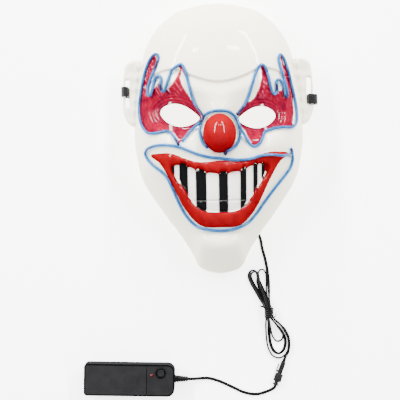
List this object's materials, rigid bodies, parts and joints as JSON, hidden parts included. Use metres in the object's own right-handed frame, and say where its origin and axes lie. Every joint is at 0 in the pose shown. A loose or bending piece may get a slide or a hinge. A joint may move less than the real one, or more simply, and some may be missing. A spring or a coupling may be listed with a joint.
{
  "type": "light-up clown mask with battery case",
  "caption": "Moulded full-face clown mask with eye holes, grinning teeth, round nose and ears, outlined in glow wire, with a head strap and a tied lead to a battery case.",
  "frame": {"origin": "middle of the face opening, on the plane that the rim rests on", "axes": "+Y from chin to crown, +Z away from the face; X = 0 is the face's plane of symmetry and +X is on the right of a viewer who looks at the face"},
  "size_m": [0.2471, 0.4109, 0.095],
  "materials": {
    "shell": "glossy",
    "glow_wire": "satin, lit",
    "elastic": "woven",
    "sleeve": "matt",
    "cord": "satin",
    "connector": "matt",
    "case": "fine grain",
    "lamp": "clear"
  },
  "bodies": {
    "mask": {"mask_shell": "shell", "wire_left_eye": "glow_wire", "wire_right_eye": "glow_wire", "wire_nose": "glow_wire", "wire_mouth": "glow_wire", "head_strap": "elastic", "splice_sleeve": "sleeve", "mask_lead": "cord", "lead_hank": "cord", "twist_tie": "sleeve", "lead_tail": "cord", "connector_plug": "connector", "connector_socket": "connector", "case_lead": "cord", "strain_relief": "case", "battery_case": "case", "switch_bezel": "connector", "indicator_lamp": "lamp"},
    "battery_cover": {"battery_cover": "case"},
    "switch_button": {"switch_button": "connector"}
  },
  "joints": [
    {"name": "cover_slide", "type": "slide", "parent": "mask", "child": "battery_cover", "axis": [-0.9995, 0.0314, 0], "range_m": [0, 0.066]},
    {"name": "switch_press", "type": "slide", "parent": "mask", "child": "switch_button", "axis": [0, 0, -1], "range_m": [0, 0.001], "stiffness_N_per_m": 400, "springref_m": -0.0005}
  ]
}
